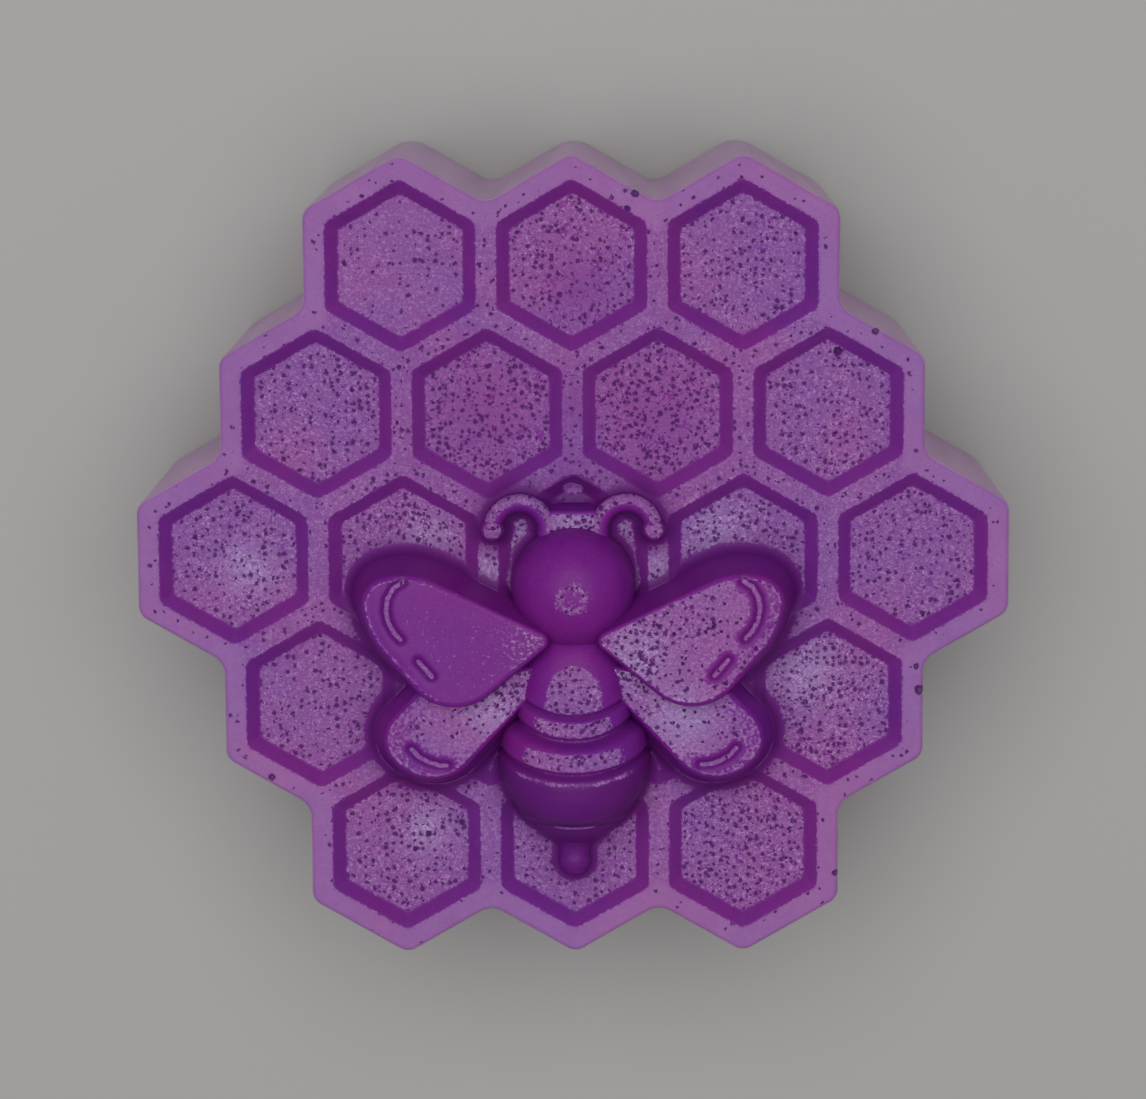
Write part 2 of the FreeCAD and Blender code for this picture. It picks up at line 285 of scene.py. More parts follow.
def rounded(corners, radii, steps):
    """Points and outward normals round a loop whose corners are arcs. At each corner of radius r
    and turn a, the arc starts r tan(a/2) before the corner; straight sides join the arcs."""
    way_in, way_out = ways(corners)
    turn = turns(corners)
    reach = (radii * np.tan(np.abs(turn) / 2))[:, None]
    starts, ends = corners - way_in * reach, corners + way_out * reach
    points, normals = [], []
    for index, (arc, side) in enumerate(zip(*steps)):
        bend = radii[index] * math.copysign(1, turn[index])
        first = np.array([way_in[index, 1], -way_in[index, 0]])
        angle = np.linspace(0, turn[index], arc + 1)
        spun = np.stack([first[0] * np.cos(angle) - first[1] * np.sin(angle),
                         first[0] * np.sin(angle) + first[1] * np.cos(angle)], 1)
        points.append(starts[index] - first * bend + spun * bend)
        points.append(between(ends[index], starts[(index + 1) % len(corners)], side))
        normals += [spun, np.repeat(spun[-1:], side - 1, 0)]
    return np.concatenate(points), np.concatenate(normals)


def sharp_partner(corners, reach, steps):
    """Points round the same loop left sharp, matched one to one with those of rounded(): an arc's
    points are laid along the two sides at its corner, up to reach from it."""
    way_in, way_out = ways(corners)
    starts, ends = corners - way_in * reach[:, None], corners + way_out * reach[:, None]
    points = []
    for index, (arc, side) in enumerate(zip(*steps)):
        part = np.linspace(-1, 1, arc + 1)[:, None] * reach[index]
        points.append(corners[index] + np.where(part < 0, way_in[index], way_out[index]) * part)
        points.append(between(ends[index], starts[(index + 1) % len(corners)], side))
    return np.concatenate(points)


def straight_gap(x, y, start, end):
    """Squared distance to a straight piece: to the nearest place on it, 0 to 1 of its length."""
    dx, dy = end - start
    x, y = x - start[0], y - start[1]
    part = np.clip((x * dx + y * dy) / (dx * dx + dy * dy + TINY), 0, 1)
    return (x - part * dx) ** 2 + (y - part * dy) ** 2


def path_distance(x, y, path):
    """Distance to an open run of straight pieces."""
    path = np.array(path)
    gaps = [straight_gap(x, y, start, end) for start, end in zip(path, path[1:])]
    return np.sqrt(np.min(gaps, axis=0))


def edge_distance(x, y, loop):
    """Distance inside a closed loop of points: the shortest to any of its sides, positive where a
    line from the place along X crosses the loop an odd number of times."""
    best = np.full(x.shape, np.inf)
    inside = np.zeros(x.shape, bool)
    for start, end in zip(loop, np.roll(loop, -1, 0)):
        best = np.minimum(best, straight_gap(x, y, start, end))
        crosses = (start[1] > y) != (end[1] > y)
        slope = (end[0] - start[0]) * (y - start[1]) / (end[1] - start[1] + TINY)
        inside ^= crosses & (x < slope + start[0])
    return np.where(inside, 1, -1) * np.sqrt(best)


def wing_corners(outline, side):
    """Corners and radii of a wing in plan, anticlockwise: side is 1 for right, -1 for left."""
    table = np.array(outline)
    corners = np.stack([side * table[:, 0], NECK_Y + table[:, 1]], 1)
    if side < 0:
        return corners[::-1], table[::-1, 2]
    return corners, table[:, 2]


# ---- Honeycomb layout ------------------------------------------------------
def cell_centres():
    """(row, column, x, y) of each cell: columns one pitch apart, rows root 3 / 2 pitches apart."""
    found = []
    for row in range(CELL_RINGS, -CELL_RINGS - 1, -1):
        for column in range(-CELL_RINGS, CELL_RINGS + 1):
            if abs(row + column) <= CELL_RINGS:
                x, y = CELL_PITCH * (column + row / 2), CELL_PITCH * ROOT3 / 2 * row
                found.append((row, column, x, y))
    return found


def hexagon(x, y, across):
    """Corners of a hexagon of the given width across its flats, with one corner along +Y."""
    angle = np.radians(30 + 60 * np.arange(6))
    return np.stack([x + across / ROOT3 * np.cos(angle), y + across / ROOT3 * np.sin(angle)], 1)


def hex_distance(x, y):
    """Distance from a hexagon's middle towards its flats: the most of |x|, |x/2 +- y root3/2|."""
    slant = np.abs(y) * ROOT3 / 2 + np.abs(x) / 2
    return np.maximum(np.abs(x), slant)


def cluster_outline():
    """Corners round the whole comb: cell borders that belong to one cell only, end to end."""
    sides = {}
    for _, _, x, y in cell_centres():
        corners = hexagon(x, y, CELL_PITCH)
        for index in range(6):
            start, end = corners[index], corners[(index + 1) % 6]
            sides[tuple(np.round(start, 3) + 0.0), tuple(np.round(end, 3) + 0.0)] = end
    following = {a: (b, end) for (a, b), end in sides.items() if (b, a) not in sides}
    place = min(following)
    outline = []
    for _ in following:
        place, corner = following[place]
        outline.append(corner)
    return np.array(outline)


CELLS = cell_centres()
BORDER = cluster_outline()
OUTLINE = grow(BORDER, RIM_LAND)
OUTER = turns(OUTLINE) > 0


# ---- Air holes -------------------------------------------------------------
# Air holes in each cell's floor, row by row from the top of the bar
HOLE_COUNTS = [48, 150, 120, 115, 190, 215, 120, 125, 175, 170, 180, 110, 90, 140, 150, 190,
               130, 110, 180]
CUT_SHARE = 0.7             # how many of them are cut in the mesh; finer ones are pinholes
RIDGE_HOLES = 120           # tried in the box round each cell; a few land on its ridges


def scattered(count, keep_inside, low, high, size=(0.08, 0.17)):
    """Random air holes inside a box, kept where keep_inside says so. Each row is x, y, radius,
    the angle of its longer axis, and how many times longer that axis is."""
    x = random_source.uniform(low[0], high[0], count)
    y = random_source.uniform(low[1], high[1], count)
    radius = size[0] + (size[1] - size[0]) * random_source.uniform(0, 1, count) ** 1.5
    angle = random_source.uniform(0, math.pi, count)
    longer = 1 + random_source.uniform(0, 1, count) ** 2
    return np.stack([x, y, radius, angle, longer], 1)[keep_inside(x, y)]


def comb_holes():
    """Air holes of the whole comb: many in the cell floors and fewer along the ridges."""
    holes = []
    for (_, _, x, y), count in zip(CELLS, HOLE_COUNTS):
        def off_middle(a, b):
            return hex_distance(a - x, b - y)

        box = (x - CELL_FLOOR, y - FLOOR_CORNER), (x + CELL_FLOOR, y + FLOOR_CORNER)
        holes.append(scattered(round(count * CUT_SHARE),
                               lambda a, b: off_middle(a, b) < CELL_FLOOR - 0.25, *box))
        half = CELL_PITCH / 2
        box = (x - half, y - CELL_CORNER), (x + half, y + CELL_CORNER)
        holes.append(scattered(RIDGE_HOLES,
                               lambda a, b: np.abs(off_middle(a, b) - RIDGE_MIDDLE) < 0.5, *box,
                               size=(0.08, 0.16)))
    return np.concatenate(holes)


# Larger burst bubbles on the rim and the floors: x, y, radius
BURST_BUBBLES = np.array([
    [24.3, 19.0, 0.42], [5.8, 33.6, 0.4], [5.1, 32.2, 0.3], [27.7, 20.9, 0.38], [31.9, -12.4, 0.5],
    [31.6, -10.2, 0.3], [24.2, -29.7, 0.36], [-28.0, -20.4, 0.36], [7.1, 5.6, 0.4],
    [-10.5, -25.0, 0.32], [-13.6, -26.1, 0.34], [-14.9, -27.5, 0.28],
])
ROUND = np.tile([0.0, 1.0], (len(BURST_BUBBLES), 1))     # no angle, and axes of one length
HOLES = np.concatenate([comb_holes(), np.hstack([BURST_BUBBLES, ROUND])])


def sunk_by(holes, x, y):
    """Depth of the air holes under each point and how far down its hole each point is, 0 to 1.
    A hole of radius r is a bowl 1.2 r deep, 1.2 r (1 - d^2), where d is the distance from its
    middle over r, shortened along its longer axis; noise makes its rim ragged."""
    depth = np.zeros_like(x)
    inside = np.zeros_like(x)
    if not len(holes):
        return depth, inside
    ragged_x = x + 0.07 * value_noise(x, y, 0.23, 31)
    ragged_y = y + 0.07 * value_noise(x, y, 0.23, 32)
    c, s = np.cos(holes[:, 3]), np.sin(holes[:, 3])
    for part in np.array_split(np.arange(len(x)), max(1, len(x) * len(holes) // 4_000_000)):
        dx, dy = ragged_x[part, None] - holes[:, 0], ragged_y[part, None] - holes[:, 1]
        away = np.hypot((dx * c + dy * s) / holes[:, 4], dy * c - dx * s) / holes[:, 2]
        bowl = np.clip(1 - away ** 2, 0, 1)
        depth[part] = (bowl * holes[:, 2] * 1.2).max(1)
        inside[part] = np.sqrt(bowl.max(1))
    return depth, inside


def holes_near(x, y, reach):
    """Those of the comb's holes within reach of a place."""
    return HOLES[np.hypot(HOLES[:, 0] - x, HOLES[:, 1] - y) < reach]


# ---- Bee: plan outlines and heights ---------------------------------------
def spline(positions, values, at):
    """Smooth curve through a few points: cubic Hermite pieces whose slope at a point is that of
    the chord between its two neighbours."""
    positions, values = np.array(positions, float), np.array(values, float)
    slope = np.gradient(values, positions)
    i = np.clip(np.searchsorted(positions, at, "right") - 1, 0, len(positions) - 2)
    width = positions[i + 1] - positions[i]
    t = np.clip((at - positions[i]) / width, 0, 1)
    return (values[i] * (1 + 2 * t) * (1 - t) ** 2 + values[i + 1] * t * t * (3 - 2 * t)
            + width * t * (1 - t) * (slope[i] * (1 - t) - slope[i + 1] * t))


# Body along its length: Y, half width, and height of its top above the cell floors
BODY = np.array([
    (-26.4, 2.0, 2.3), (-25.95, 2.55, 2.9), (-25.5, 3.3, 3.5), (-25.0, 4.05, 3.9),
    (-24.55, 4.5, 4.15), (-24.2, 4.8, 4.3), (-23.9, 5.1, 5.0), (-23.2, 5.6, 6.2),
    (-22.3, 6.15, 7.05), (-21.0, 6.7, 7.7), (-19.9, 7.0, 7.95), (-18.7, 7.05, 8.05),
    (-17.6, 6.8, 7.7), (-15.9, 6.3, 7.35), (-15.1, 5.65, 6.75), (-13.2, 5.3, 6.25),
    (-11.2, 5.0, 5.95), (-9.4, 4.5, 5.4), (-8.0, 3.7, 4.7), (-6.6, 2.75, 3.7), (-5.0, 2.5, 3.4),
])
# Stinger along its length, in the same way
STINGER = np.array([
    (-30.0, 0.0, 0.3), (-29.8, 0.65, 0.9), (-29.3, 1.2, 1.35), (-28.5, 1.5, 1.6),
    (-27.7, 1.43, 1.6), (-27.0, 1.5, 1.75), (-26.5, 1.9, 2.1), (-25.95, 2.6, 2.45),
    (-25.4, 3.3, 2.6), (-24.9, 4.0, 2.7),
])
# Grooves between the body's parts: Y, depth and width
GROOVES = [(THORAX_BACK, 0.3, 0.3), (UPPER_BACK, 0.55, 0.42), (MIDDLE_BACK, 0.42, 0.34)]


def body_shape(y):
    """Half width and height of the body at a place along it: smooth curves less a rounded groove
    at each joint, depth e^-((y - joint) / width)^2."""
    groove = sum(depth * np.exp(-((y - joint) / width) ** 2) for joint, depth, width in GROOVES)
    return spline(BODY[:, 0], BODY[:, 1], y) - groove, spline(BODY[:, 0], BODY[:, 2], y) - groove


def stinger_shape(y):
    """Half width and height of the stinger at a place along it."""
    return spline(STINGER[:, 0], STINGER[:, 1], y), spline(STINGER[:, 0], STINGER[:, 2], y)


def wing_loop(outline, side, growth, spacing=0.12):
    """Points and normals of a wing's outline, grown outward."""
    corners, radii = wing_corners(outline, side)
    steps = loop_steps(corners, radii, spacing)
    points, normals = rounded(corners, radii, steps)
    return points + normals * growth, normals


def bee_gap(x, y):
    """Distance outside the bee's outline in plan, negative under it: the least of those to the
    head's circle, the body, the stinger, the antennae and the four wings."""
    gap = np.hypot(x, y - HEAD_Y) - HEAD_RADIUS
    along = np.clip(y, TAIL_BACK, NECK_Y)
    beside, beyond = np.abs(x) - body_shape(along)[0], np.abs(y - along)
    off_end = np.hypot(np.maximum(beside, 0), beyond)
    gap = np.minimum(gap, np.where(beyond > 0, off_end, beside))
    along = np.clip(y, -28.4, -25.5)
    gap = np.minimum(gap, np.hypot(x, y - along) - stinger_shape(along)[0])
    side_x = np.abs(x) - ARCH_X
    arch = np.where(y > ARCH_Y, np.abs(np.hypot(side_x, y - ARCH_Y) - ARCH_RADIUS), FAR)
    stem = np.where(y > -1, np.hypot(side_x + ARCH_RADIUS, np.maximum(y - ARCH_Y, 0)), FAR)
    ball = np.hypot(side_x - ARCH_RADIUS, y - ARCH_Y) - 0.2
    gap = np.minimum(gap, np.minimum(np.minimum(arch, stem), ball) - ROD_FOOT)
    for outline in (FOREWING, HINDWING):
        for side in (1, -1):
            loop, _ = wing_loop(outline, side, WING_SPREAD, spacing=0.6)
            near = (x * side > -2) & (y < 4) & (y > -26)
            distance = np.full(x.shape, FAR)
            distance[near] = -edge_distance(x[near], y[near], loop)
            gap = np.minimum(gap, distance)
    return gap


# ---- Soap surfaces ---------------------------------------------------------
# Places (x, y, reach) where the bloom lies thickest and looks blue-white
PALE_PATCHES = [(-13.9, -25.6, 2.2), (0.0, 3.4, 1.8), (-7.8, -1.2, 1.6), (7.8, -1.2, 1.6),
                (5.6, -8.4, 3.0), (-7.6, -13.6, 2.4), (9.6, -14.2, 3.0), (-13.5, 1.5, 2.4),
                (13.0, 2.0, 3.0), (4.0, 2.5, 1.5), (-5.0, 2.5, 1.5), (21.6, -11.0, 3.0),
                (-30.0, -1.0, 2.5)]
# Places where it lies thin and the soap shows through
THIN_PATCHES = [(-7.8, 13.5, 6.5), (7.4, 13.0, 6.5), (0.5, 25.0, 4.5), (0.0, 8.0, 3.0),
                (0.0, 14.0, 4.0)]


def paleness(x, y):
    """Thickness of the bloom, from 1 in a pale patch to -0.8 in a thin one: the strongest pale
    bell e^-(d / reach)^2, less 0.8 of the strongest thin one."""
    def strongest(patches):
        return np.max([np.exp(-((x - a) ** 2 + (y - b) ** 2) / reach ** 2)
                       for a, b, reach in patches], axis=0)

    return strongest(PALE_PATCHES) - 0.8 * strongest(THIN_PATCHES)


def softened(value, radius):
    """Positive part with a rounded bend: (v + r)^2 / 4r within r of zero."""
    bend = (value + radius) ** 2 / (4 * radius)
    return np.where(value < -radius, 0, np.where(value > radius, value, bend))


def comb_height(x, y, centre_x, centre_y):
    """Height of one cell: level floor, straight leaning wall and level ridge, with the wall's foot
    and lip rounded and the corners eased by a 40th-power mean of the three hexagon distances."""
    dx, dy = np.abs(x - centre_x), np.abs(y - centre_y)
    slant, other = dy * ROOT3 / 2 + dx / 2, np.abs(dy * ROOT3 / 2 - dx / 2)
    across = (dx ** 40 + slant ** 40 + other ** 40) ** 0.025
    wall = softened(across - CELL_FLOOR, 0.16) - softened(across - CELL_MOUTH, 0.12)
    return FLOOR_Z + (RIM_Z - FLOOR_Z) * wall / (CELL_MOUTH - CELL_FLOOR)


# Apothem of each ring of a cell's surface: even over the floor, closer over the wall and ridge
CELL_STEPS = np.concatenate([np.linspace(0, 5.4, 46), np.linspace(5.4, 7.1, 20)[1:],
                             np.linspace(7.1, CELL_PITCH / 2 - 0.01, 8)[1:], [CELL_PITCH / 2]])
DISC = disc_layout(len(CELL_STEPS) - 1)


def with_skirt(points, triangles, rings, bottom):
    """Close a six-sided disc downward: a wall down from its outermost ring, and a flat base."""
    count = 6 * rings
    first = len(points) - count
    low = at_level(points[first:, :2], bottom)
    middle = np.append(points[0, :2], bottom)[None]
    k = np.arange(count)
    after = (k + 1) % count
    top, base = first + k, len(points) + k
    wall = [np.stack([top, base, base[after]], 1), np.stack([top, base[after], top[after]], 1)]
    floor = np.stack([base[after], base, np.full(count, len(points) + count)], 1)
    return np.concatenate([points, low, middle]), np.concatenate([triangles, *wall, floor])


def cell(row, column, x, y, pitted, material):
    """One hexagonal cell out to the middle of its ridges, with its air holes and, beside the bee,
    the fillet at the bee's foot: 0.55 (1 - gap)^2 high, less on the ridges. Painted shade lies
    faint at the foot of each wall and darker round the bee's foot; the socket before the antennae
    is bare and under a painted shadow, with an eye of bloom in it. pitted is the cell's share of
    pinholes."""
    ring, sector, part, triangles = DISC
    corners = hexagon(0, 0, 2)
    start, end = corners[sector], corners[(sector + 1) % 6]
    plan = (start + (end - start) * part[:, None]) * CELL_STEPS[ring][:, None] + [x, y]
    px, py = plan[:, 0], plan[:, 1]
    height = comb_height(px, py, x, y)
    gap = np.full(len(px), FAR)
    if math.hypot(x, y - BEE_MIDDLE_Y) < BEE_REACH:
        gap = bee_gap(px, py)
    across = hex_distance(px - x, py - y)
    on_ridge = smooth(CELL_FLOOR, CELL_MOUTH, across)
    rise = 0.55 * np.clip(1 - gap, 0, 1.35) ** 2 * smooth(-0.8, -0.45, gap)
    height = height + rise * (1 - 0.55 * on_ridge)
    base = np.stack([px, py, height + cast_unevenness(px, py) - SETTLED], 1)
    frost = level_frost(base, triangles, 5)
    depth, hole = sunk_by(holes_near(x, y, 9.6), px, py)
    open_air = smooth(0.25, 0.55, frost)
    base[:, 2] -= depth * open_air
    # Painted shade: a trace at the foot of each wall and a dark halo round the bee's foot
    foot = np.exp(-((across - CELL_FLOOR - 0.2) / 0.45) ** 2)
    painted_shade = np.maximum(foot * 0.1, np.exp(-np.clip(gap, 0, FAR) / 0.9))
    ragged = 0.15 * value_noise(px, py, 0.4, 47)
    eye = smooth(1.15, 0.95, np.hypot(px / 0.85, (py - 6.4) / 0.6) + ragged)
    # Painted shadow over the socket before the antennae, kept off the eye of bloom
    socket = smooth(1.1, 0.9, np.hypot(px / 2.6, (py - 5.9) / 1.9) + ragged) * (1 - eye)
    frost = np.maximum(frost * (1 - socket), eye)
    painted_shade = np.maximum(painted_shade * (1 - eye), 0.9 * socket)
    outer = smooth(1.6, 0.5, edge_distance(px, py, BORDER)) * on_ridge
    near_bee = smooth(26, 12, np.hypot(px, py))
    pits = (0.04 + 0.76 * pitted) * (1 - on_ridge) + (0.08 + 0.25 * near_bee) * on_ridge
    # side gives a trace of the walls' painted reflection on the bare walls and the outer ridges
    values = {"frost": frost, "hole": hole * open_air, "painted_shade": painted_shade, "pale": paleness(px, py),
              "pits": (1 - 0.8 * outer) * pits,
              "side": np.maximum(0.03 * (1 - frost), 0.1 * outer * frost)}
    points, triangles = with_skirt(base, triangles, len(CELL_STEPS) - 1, FLOOR_Z - 1)
    unseen = len(points) - len(base)
    values = {key: np.pad(value, (0, unseen)) for key, value in values.items()}
    name = "cell_row%d_%d" % (CELL_RINGS - row + 1, column + 3)
    make_piece(name, points, triangles, values, material, ["comb_walls"])


def front_band(material):
    """Level band round the outside of the comb: from the cells' borders out to the bar's edge,
    over a rounded edge of 0.45 mm and down the side."""
    radii = np.where(OUTER, FRONT_CORNER, NOTCH)
    steps = loop_steps(OUTLINE, radii, 0.13)
    edge, normals = rounded(OUTLINE, radii, steps)
    turn = turns(OUTLINE)
    reach = radii * np.tan(np.abs(turn) / 2) - RIM_LAND * np.tan(turn / 2)
    inner = sharp_partner(BORDER, reach, steps)
    lip = 0.45
    rings = [at_level(inner, FLOOR_Z - 0.9)]
    for part in [0, 0.005, *np.linspace(0, 1, 9)[1:]]:
        rings.append(at_level(inner + (edge - normals * lip - inner) * part, RIM_Z))
    last_level = len(rings) - 1
    for angle in np.radians(np.linspace(15, 90, 6)):
        rings.append(at_level(edge - normals * lip * (1 - math.sin(angle)),
                              RIM_Z - lip * (1 - math.cos(angle))))
    rings += [at_level(edge, z) for z in (RIM_Z - 0.6, RIM_Z - 0.85, FLOOR_Z)]
    rings.append(at_level(edge * 0.985, FLOOR_Z - 0.95))
    points = np.concatenate(rings + [[[0, 0, FLOOR_Z - 0.9]], [[0, 0, FLOOR_Z - 0.95]]])
    triangles = ring_faces(len(rings), len(inner))[:, ::-1]
    level = points[:, 2] > RIM_Z - 0.3
    unevenness = cast_unevenness(points[:, 0], points[:, 1])
    points[:, 2] += np.where(level, unevenness - SETTLED, 0)
    ring = np.arange(len(points)) // len(inner)
    past_level = (ring >= last_level) & (ring < len(rings))
    frost = np.maximum(level_frost(points, triangles, 1), past_level)
    rim_holes = HOLES[np.hypot(HOLES[:, 0], HOLES[:, 1]) > 27]
    depth, hole = sunk_by(rim_holes, points[:, 0], points[:, 1])
    open_air = level * smooth(0.3, 0.8, frost)
    points[:, 2] -= depth * open_air
    # The rounded edge and the side carry the pale painted reflection
    values = {"frost": frost, "hole": hole * open_air,
              "side": np.maximum(smooth(RIM_Z - 0.05, RIM_Z - 0.5, points[:, 2]), 0.1),
              "pits": 0.04 * (points[:, 2] > RIM_Z - 0.06)}
    make_piece("front_band", points, triangles, values, material, ["comb_walls"])


def side_and_back(material):
    """Upright sides, whose corners grow rounder towards the back, and the level back that was the
    open face of the pour: rings down the side, over a 0.5 mm edge and in to the middle."""
    front_radii = np.where(OUTER, FRONT_CORNER, NOTCH)
    back_radii = np.where(OUTER, BACK_CORNER, NOTCH)
    steps = loop_steps(OUTLINE, back_radii, 0.32)
    back_edge = 0.5
    bar_radius = 38
    over_edge = back_edge * (1 - np.sin(np.radians([25, 50, 70, 90])))
    rings = []
    for z in np.concatenate([np.linspace(FLOOR_Z, back_edge, 44), over_edge]):
        share = 1 - z / FLOOR_Z
        edge, normals = rounded(OUTLINE, front_radii + (back_radii - front_radii) * share, steps)
        drop = max(0.0, back_edge - z)
        inset = back_edge - math.sqrt(back_edge ** 2 - drop ** 2)
        around = np.arctan2(edge[:, 1], edge[:, 0]) * bar_radius
        height = np.full(len(edge), z)
        wave = (0.05 * (1 + value_noise(around, height * 3, 2.2, 8))
                + 0.02 * (1 + value_noise(around, height * 6, 0.9, 9)))
        fade = smooth(0, 1.5, FLOOR_Z - z)
        rings.append(at_level(edge - normals * (inset + wave * fade / 2)[:, None], z))
    in_comb = 1.05
    rings.insert(0, rings[0] * [0.97, 0.97, 1] - [0, 0, in_comb])
    rim = rings[-1]
    for scale in np.concatenate([np.linspace(0.985, 0.9, 7), np.linspace(0.87, 0.03, 30)]):
        inward = rim * [scale, scale, 1]
        swell = 0.5 + 0.5 * value_noise(inward[:, 0], inward[:, 1], 9.0, 12)
        ripple = 0.05 * (1 + value_noise(inward[:, 0], inward[:, 1], 2.6, 13))
        inward[:, 2] = (0.16 * swell + ripple) * smooth(1, 0.9, scale)
        rings.append(inward)
    points = np.concatenate(rings + [[[0, 0, FLOOR_Z - in_comb]], [[0, 0, 0.1]]])
    triangles = ring_faces(len(rings), len(rim))[:, ::-1]
    # Painted reflection: the upright sides paler; the back frosted
    side = smooth(0.15, 0.4, points[:, 2])
    values = {"frost": 1 - side, "side": side}
    make_piece("side_and_back", points, triangles, values, material, ["backing_slab"])


# ---- Bee: surfaces -----------------------------------------------------------
def finish_surface(name, points, triangles, holes, material, nodes,
                   frost_share=1.0, marks=0.0, painted_shade_mask=0.0, pits=0.45):
    """Add the frost, holes and unevenness of a bee piece, then make it. Frost falls on level faces
    and on the marks, and air holes only show in frost. Painted shade lies at the piece's foot on
    the comb and wherever its shade mask asks."""
    above = smooth(FLOOR_Z + 0.3, FLOOR_Z + 1.2, points[:, 2])
    points[:, 2] += (cast_unevenness(points[:, 0], points[:, 1]) - SETTLED) * above
    frost = np.maximum(level_frost(points, triangles) * frost_share, marks)
    depth, hole = sunk_by(holes, points[:, 0], points[:, 1])
    open_air = smooth(0.25, 0.6, frost) * above
    points[:, 2] -= depth * open_air
    # Painted shade at the foot, where the piece meets the comb
    foot = np.exp(-np.clip(points[:, 2] - FLOOR_Z - 0.1, 0, FAR) / 0.7)
    values = {"frost": frost, "hole": hole * open_air, "painted_shade": np.maximum(foot, painted_shade_mask),
              "pale": paleness(points[:, 0], points[:, 1]), "pits": pits + np.zeros(len(points))}
    make_piece(name, points, triangles, values, material, nodes)


def head_piece(material):
    """Head: a ball of radius 5.7 raised 1.5 off the comb, straight down to the comb below it, with
    a little bloom on its crown and a faint ring of bloom colour over it as a painted highlight."""
    centre = FLOOR_Z + HEAD_RISE
    profile = [(HEAD_RADIUS, FLOOR_Z - SINK), (HEAD_RADIUS, FLOOR_Z + 0.5), (HEAD_RADIUS, centre)]
    for angle in np.radians(np.linspace(3, 88.8, 76)):
        profile.append((HEAD_RADIUS * math.cos(angle), centre + HEAD_RADIUS * math.sin(angle)))
    points, triangles = turned(0, HEAD_Y, profile, centre + HEAD_RADIUS, 240)
    crown = 1.9
    holes = scattered(60, lambda a, b: np.hypot(a, b - HEAD_Y) < crown,
                      (-crown, HEAD_Y - crown), (crown, HEAD_Y + crown), size=(0.08, 0.15))
    # Painted highlight: a faint ring round the crown, laid on in bloom colour
    out = np.hypot(points[:, 0] + 0.1, points[:, 1] - HEAD_Y + 0.2)
    ring = 0.62 * np.exp(-((out - 1.15) / 0.5) ** 2) * (points[:, 2] > centre)
    finish_surface("bee_head_skin", points, triangles, holes, material, ["bee_head"], 0.3, ring)


BOW = 1.5                   # how far the bands' middles lie behind their ends


def barrel_piece(name, node, ys, shape_at, power, holes, material, frost_share,
                 reach=0.0, marks=None, base_painted_shade=0.0):
    """Round-backed piece lying along Y. At each place its section is half a superellipse,
    |x / w|^n + |z / h|^n = 1, on upright feet that go down into the comb. reach widens its bloom
    across the back, as far as that share of the half width, in a dome that ends 3.9 from the
    piece's back end."""
    foot_height = 0.9
    narrowest = 0.05
    angle = np.linspace(0, math.pi, 130)
    wide = np.sign(np.cos(angle)) * np.abs(np.cos(angle)) ** (2 / power)
    high = np.sin(angle) ** (2 / power)
    rings = []
    for y in ys:
        half, height = map(float, shape_at(np.array(y)))
        half = max(half, narrowest)
        base = min(foot_height, height * 0.3)
        foot = np.linspace(base, -SINK, 6)[1:]
        x = np.concatenate([half * wide, np.full(5, -half), np.full(5, half)])
        z = np.concatenate([base + (height - base) * high, foot, foot[::-1]])
        bowed = y + BOW * smooth(-8, -13, y) * smooth(-25.5, -22, y) * ((x / half) ** 2 - 0.6)
        rings.append(np.column_stack([x, bowed, FLOOR_Z + z]))
    start, end = rings[0].mean(0), rings[-1].mean(0)
    points = np.concatenate(rings + [start[None], end[None]])
    triangles = ring_faces(len(rings), len(rings[0]))
    along = np.append(np.repeat(ys, len(rings[0])), [ys[0], ys[-1]])
    extra = np.zeros(len(points)) if marks is None else marks(points, along)
    if reach:
        half = shape_at(along)[0]
        normal_y = np.abs(vertex_normals(points, triangles)[:, 1])
        domed = np.sqrt(np.clip(1 - ((along - ys[-1]) / 3.9) ** 4, 0.001, 1))
        edge = np.maximum(half * reach * domed, narrowest)
        across = smooth(1.2, 0.8, np.abs(points[:, 0]) / edge)
        extra = np.maximum(extra, across * smooth(0.5, 0.3, normal_y))
    # Painted shade in the grooves between the body's parts
    painted_shade_mask = np.zeros(len(points))
    for joint, _, width in GROOVES:
        painted_shade_mask = np.maximum(painted_shade_mask, 0.8 * np.exp(-((along - joint) / (0.9 * width)) ** 2))
    extra *= 1 - painted_shade_mask
    # and over the whole piece as its base shade asks: the tail and stinger, facing away from the
    # light
    painted_shade_mask = np.maximum(painted_shade_mask, base_painted_shade * (1 - extra))
    finish_surface(name, points, triangles, holes, material, [node], frost_share, extra, painted_shade_mask)


